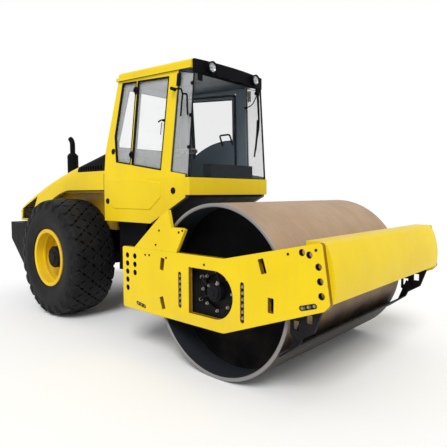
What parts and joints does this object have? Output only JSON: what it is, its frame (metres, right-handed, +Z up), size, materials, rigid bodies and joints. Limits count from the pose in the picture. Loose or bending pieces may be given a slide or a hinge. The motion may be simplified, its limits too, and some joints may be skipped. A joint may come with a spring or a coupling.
{
  "type": "single-drum road roller",
  "caption": "Articulated soil compactor with a wide smooth front drum in a plate frame, glazed cab, sloping rear hood and large rear tyres.",
  "frame": {"origin": "on the ground under the middle of the machine's length and width", "axes": "+X forward to the drum, +Y to the machine's left, +Z up"},
  "size_m": [5.808, 2.25, 3.0079],
  "materials": {
    "yellow": "gloss machine yellow",
    "rim": "satin yellow",
    "black": "satin black",
    "grille": "matte black",
    "engine": "dull dark grey",
    "drum_face": "worn, dusty steel",
    "drum_inner": "dull blue-grey",
    "tyre": "matte rubber",
    "glass": "clear",
    "lamp": "black housing, clear lens",
    "rubber": "matte",
    "seat": "slate grey cover",
    "trim": "grained",
    "barrel": "satin black",
    "rod": "polished"
  },
  "bodies": {
    "rear_frame": {"cab_side_right": "yellow", "cab_side_left": "yellow", "cab_roof": "yellow", "cab_apron": "yellow", "cab_rear_wall": "yellow", "wheelhouse_liners": "yellow", "rear_chassis": "black", "rear_axle": "black", "rear_bumper": "black", "cab_floor": "black", "frame_skirts": "black", "cab_steps": "black", "roof_visor": "grille", "mirror_arm": "grille", "grab_rails": "grille", "engine": "engine", "windshield": "glass", "corner_glass": "glass", "side_glass_right": "glass", "rear_glass": "glass", "work_lamps": "lamp", "rear_lamps": "lamp", "cab_mounts": "rubber", "seat_cushion": "seat", "seat_back": "seat", "seat_pedestal": "trim", "dashboard": "trim", "steering_column": "trim", "steering_wheel": "trim", "side_console": "trim"},
    "wheel_right": {"tyre_right": "tyre", "rim_right": "rim", "hub_right": "black"},
    "wheel_left": {"tyre_left": "tyre", "rim_left": "rim", "hub_left": "black"},
    "steering_yoke": {"steering_yoke": "black"},
    "steer_barrel_right": {"steer_barrel_right": "barrel"},
    "steer_barrel_left": {"steer_barrel_left": "barrel"},
    "steer_rod_right": {"steer_rod_right": "rod"},
    "steer_rod_left": {"steer_rod_left": "rod"},
    "front_frame": {"side_plate_right": "yellow", "side_plate_left": "yellow", "front_member": "black", "front_beam": "yellow", "frame_guards": "yellow", "scraper": "black", "lash_brackets": "black", "drum_carriers": "black"},
    "drum": {"drum_shell": "drum_face", "drum_webs": "drum_inner"},
    "door": {"door_left": "yellow", "door_glass": "glass"},
    "hood": {"hood": "yellow", "hood_grilles": "grille", "exhaust_stack": "grille"}
  },
  "joints": [
    {"name": "wheel_right_spin", "type": "hinge", "parent": "rear_frame", "child": "wheel_right", "pos_m": [-1.181, 0, 0.76], "axis": [0, 1, 0], "continuous": true},
    {"name": "wheel_left_spin", "type": "hinge", "parent": "rear_frame", "child": "wheel_left", "pos_m": [-1.181, 0, 0.76], "axis": [0, 1, 0], "continuous": true},
    {"name": "steering", "type": "hinge", "parent": "rear_frame", "child": "steering_yoke", "pos_m": [0.299, 0, 0.64], "axis": [0, 0, 1], "range_deg": [-35, 35]},
    {"name": "oscillation", "type": "hinge", "parent": "steering_yoke", "child": "front_frame", "pos_m": [0.299, 0, 0.64], "axis": [1, 0, 0], "range_deg": [-12, 12]},
    {"name": "drum_spin", "type": "hinge", "parent": "front_frame", "child": "drum", "pos_m": [1.779, 0, 0.75], "axis": [0, 1, 0], "continuous": true},
    {"name": "door_swing", "type": "hinge", "parent": "rear_frame", "child": "door", "pos_m": [-0.231, 0.68, 1.42], "axis": [0, 0, 1], "range_deg": [0, 90]},
    {"name": "hood_lift", "type": "hinge", "parent": "rear_frame", "child": "hood", "pos_m": [-2.879, 0, 1.168], "axis": [0, -1, 0], "range_deg": [0, 60]},
    {"name": "barrel_right_swing", "type": "hinge", "parent": "rear_frame", "child": "steer_barrel_right", "pos_m": [-0.441, -0.42, 0.6673], "axis": [0, 0, 1], "range_deg": [-4, 4]},
    {"name": "barrel_left_swing", "type": "hinge", "parent": "rear_frame", "child": "steer_barrel_left", "pos_m": [-0.441, 0.42, 0.6673], "axis": [0, 0, 1], "range_deg": [-4, 4]},
    {"name": "rod_right_slide", "type": "slide", "parent": "steer_barrel_right", "child": "steer_rod_right", "axis": [0.9871, 0.1601, 0], "range_m": [-0.17, 0.17]},
    {"name": "rod_left_slide", "type": "slide", "parent": "steer_barrel_left", "child": "steer_rod_left", "axis": [0.9871, -0.1601, 0], "range_m": [-0.17, 0.17]}
  ],
  "couplings": [
    {"joint": "barrel_right_swing", "follows": "steering", "ratio": -0.089},
    {"joint": "barrel_left_swing", "follows": "steering", "ratio": -0.089},
    {"joint": "rod_right_slide", "follows": "steering", "m_per_rad": 0.2738},
    {"joint": "rod_left_slide", "follows": "steering", "m_per_rad": -0.2738}
  ]
}
